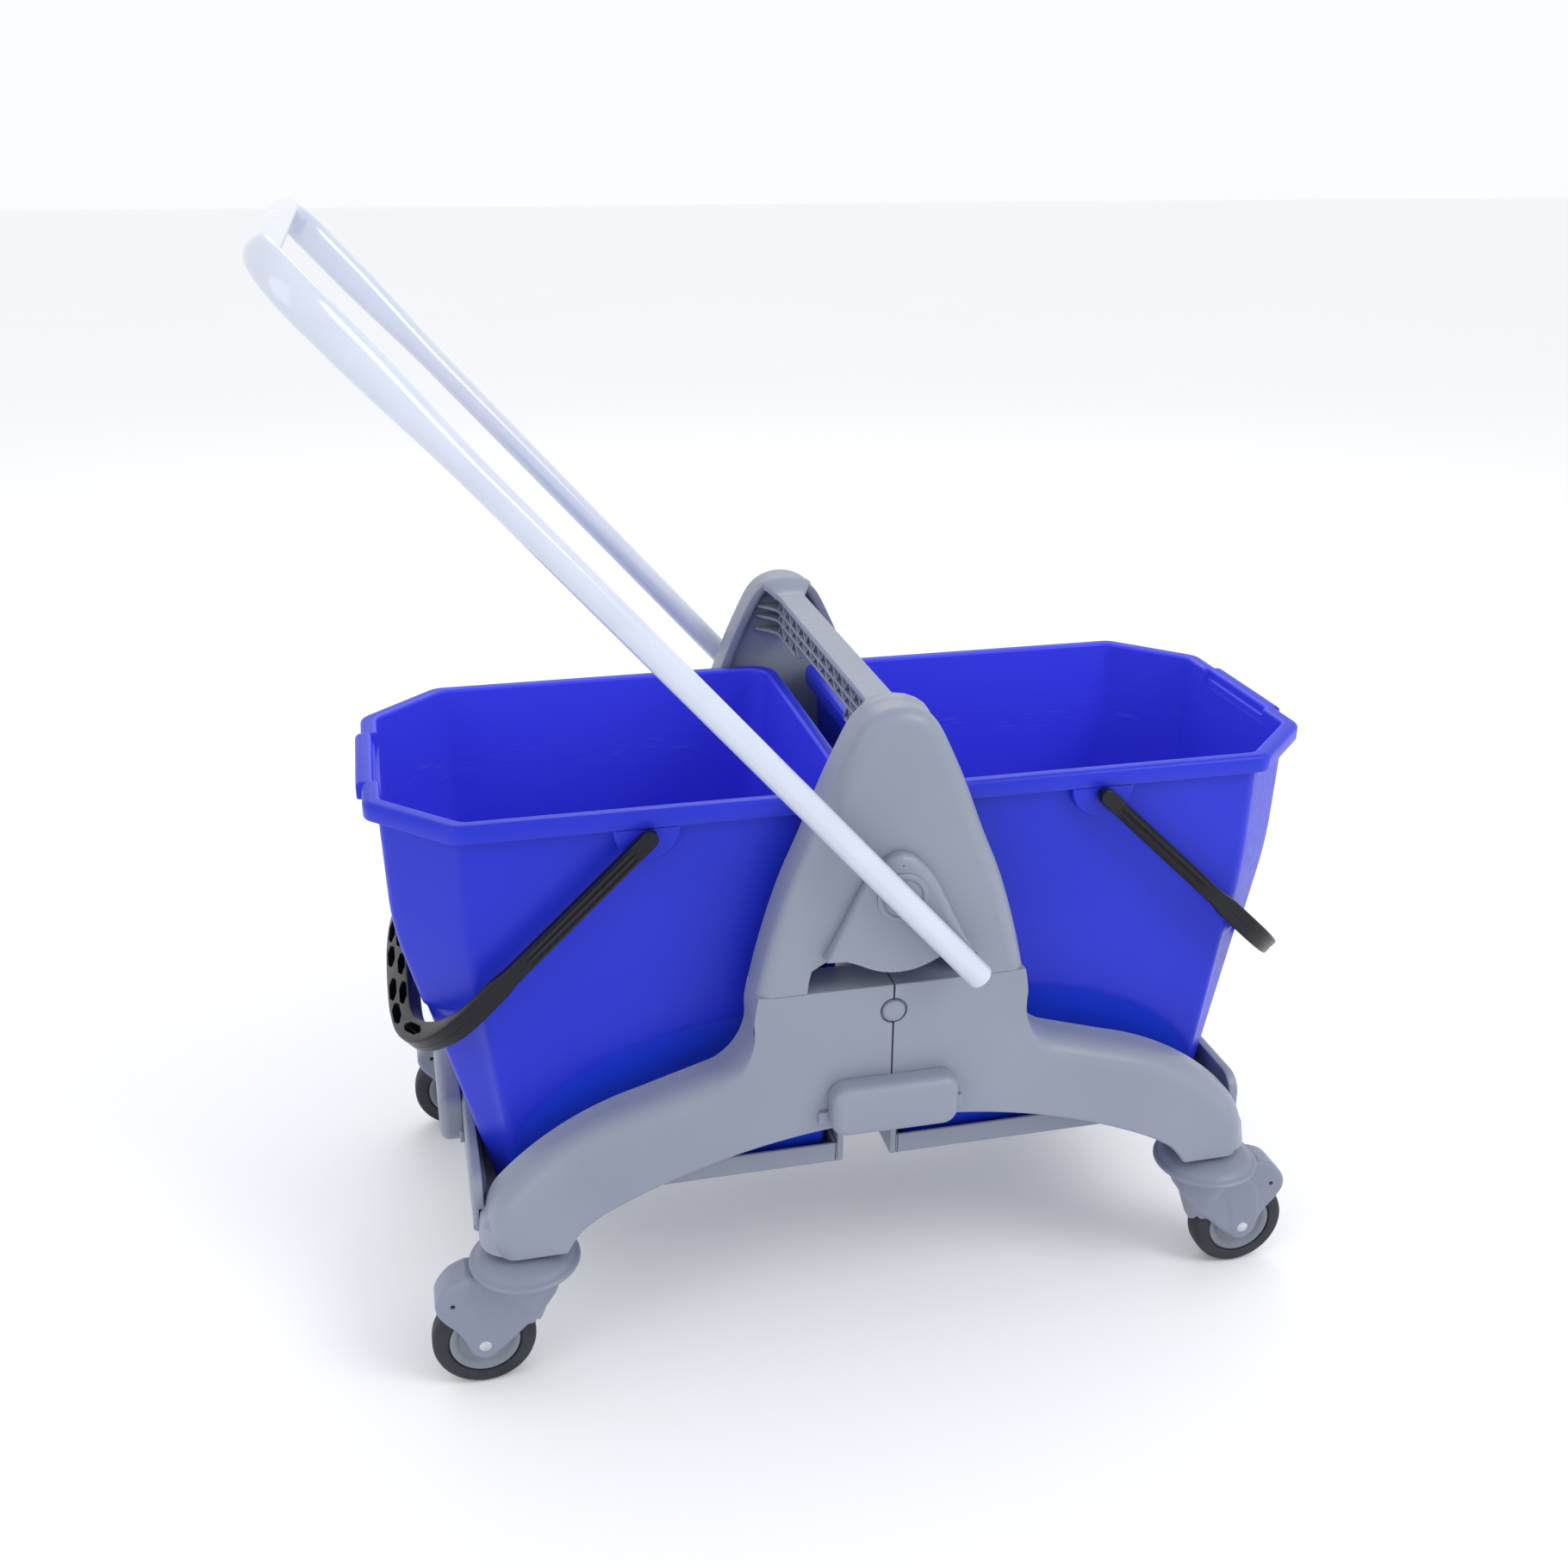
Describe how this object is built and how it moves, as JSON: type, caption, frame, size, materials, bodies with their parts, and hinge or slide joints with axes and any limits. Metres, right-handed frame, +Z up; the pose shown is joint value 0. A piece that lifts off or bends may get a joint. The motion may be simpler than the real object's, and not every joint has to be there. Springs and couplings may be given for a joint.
{
  "type": "twin bucket mop trolley",
  "caption": "Wheeled base with swivel casters that carries lift-out tapered buckets with bails either side of a carrying yoke with a tilting push handle.",
  "frame": {"origin": "on the floor, at the middle of the four caster swivel axes", "axes": "+Z up, +X along the row of buckets towards the right one, -Y towards the near side"},
  "size_m": [0.7861, 0.456, 0.8544],
  "materials": {
    "blue_plastic": "satin moulded polypropylene, saturated blue",
    "grey_plastic": "satin moulded polypropylene, bluish mid grey",
    "hub_plastic": "smooth moulded nylon, grey",
    "black_plastic": "satin moulded plastic, black",
    "handle_coat": "glossy coated tube, bluish white",
    "steel": "zinc plated",
    "tyre": "matt black tread"
  },
  "bodies": {
    "frame": {"base_half_left": "grey_plastic", "base_half_right": "grey_plastic", "floor_tray_left": "grey_plastic", "floor_tray_right": "grey_plastic", "seam_block_near": "grey_plastic", "seam_block_far": "grey_plastic", "end_block_left": "grey_plastic", "end_block_right": "grey_plastic", "seam_plug_near": "grey_plastic", "seam_plug_far": "grey_plastic", "yoke": "grey_plastic", "hub_cover_near": "grey_plastic", "hub_cover_far": "grey_plastic", "caster_stem_near_left": "steel", "caster_stem_near_right": "steel", "caster_stem_far_left": "steel", "caster_stem_far_right": "steel"},
    "handle": {"handle_tube": "handle_coat", "handle_end_caps": "handle_coat", "pivot_pin_near": "steel", "pivot_disc_near": "grey_plastic", "pivot_clip_near": "steel", "pivot_pin_far": "steel", "pivot_disc_far": "grey_plastic", "pivot_clip_far": "steel"},
    "left_bucket": {"bucket_left": "blue_plastic"},
    "right_bucket": {"bucket_right": "blue_plastic"},
    "left_bail": {"bail_left": "black_plastic"},
    "right_bail": {"bail_right": "black_plastic"},
    "swivel_near_left": {"caster_disc_near_left": "grey_plastic", "caster_fork_near_left": "grey_plastic", "axle_near_left": "steel"},
    "wheel_near_left": {"wheel_hub_near_left": "hub_plastic", "tyre_near_left": "tyre"},
    "swivel_near_right": {"caster_disc_near_right": "grey_plastic", "caster_fork_near_right": "grey_plastic", "axle_near_right": "steel"},
    "wheel_near_right": {"wheel_hub_near_right": "hub_plastic", "tyre_near_right": "tyre"},
    "swivel_far_left": {"caster_disc_far_left": "grey_plastic", "caster_fork_far_left": "grey_plastic", "axle_far_left": "steel"},
    "wheel_far_left": {"wheel_hub_far_left": "hub_plastic", "tyre_far_left": "tyre"},
    "swivel_far_right": {"caster_disc_far_right": "grey_plastic", "caster_fork_far_right": "grey_plastic", "axle_far_right": "steel"},
    "wheel_far_right": {"wheel_hub_far_right": "hub_plastic", "tyre_far_right": "tyre"}
  },
  "joints": [
    {"name": "handle_tilt", "type": "hinge", "parent": "frame", "child": "handle", "pos_m": [0, 0, 0.395], "axis": [0, 1, 0], "range_deg": [0, 83]},
    {"name": "left_bucket_lift", "type": "slide", "parent": "frame", "child": "left_bucket", "axis": [0, 0, 1], "range_m": [0, 0.41]},
    {"name": "right_bucket_lift", "type": "slide", "parent": "frame", "child": "right_bucket", "axis": [0, 0, 1], "range_m": [0, 0.41]},
    {"name": "left_bail_swing", "type": "hinge", "parent": "left_bucket", "child": "left_bail", "pos_m": [-0.176, 0, 0.438], "axis": [0, 1, 0], "range_deg": [0, 133]},
    {"name": "right_bail_swing", "type": "hinge", "parent": "right_bucket", "child": "right_bail", "pos_m": [0.176, 0, 0.438], "axis": [0, -1, 0], "range_deg": [0, 133]},
    {"name": "swivel_turn_near_left", "type": "hinge", "parent": "frame", "child": "swivel_near_left", "pos_m": [-0.284, -0.179, 0.1], "axis": [0, 0, 1], "continuous": true},
    {"name": "wheel_roll_near_left", "type": "hinge", "parent": "swivel_near_left", "child": "wheel_near_left", "pos_m": [-0.319, -0.179, 0.04], "axis": [0, 1, 0], "continuous": true},
    {"name": "swivel_turn_near_right", "type": "hinge", "parent": "frame", "child": "swivel_near_right", "pos_m": [0.284, -0.179, 0.1], "axis": [0, 0, 1], "continuous": true},
    {"name": "wheel_roll_near_right", "type": "hinge", "parent": "swivel_near_right", "child": "wheel_near_right", "pos_m": [0.319, -0.179, 0.04], "axis": [0, 1, 0], "continuous": true},
    {"name": "swivel_turn_far_left", "type": "hinge", "parent": "frame", "child": "swivel_far_left", "pos_m": [-0.284, 0.179, 0.1], "axis": [0, 0, 1], "continuous": true},
    {"name": "wheel_roll_far_left", "type": "hinge", "parent": "swivel_far_left", "child": "wheel_far_left", "pos_m": [-0.319, 0.179, 0.04], "axis": [0, 1, 0], "continuous": true},
    {"name": "swivel_turn_far_right", "type": "hinge", "parent": "frame", "child": "swivel_far_right", "pos_m": [0.284, 0.179, 0.1], "axis": [0, 0, 1], "continuous": true},
    {"name": "wheel_roll_far_right", "type": "hinge", "parent": "swivel_far_right", "child": "wheel_far_right", "pos_m": [0.319, 0.179, 0.04], "axis": [0, 1, 0], "continuous": true}
  ]
}
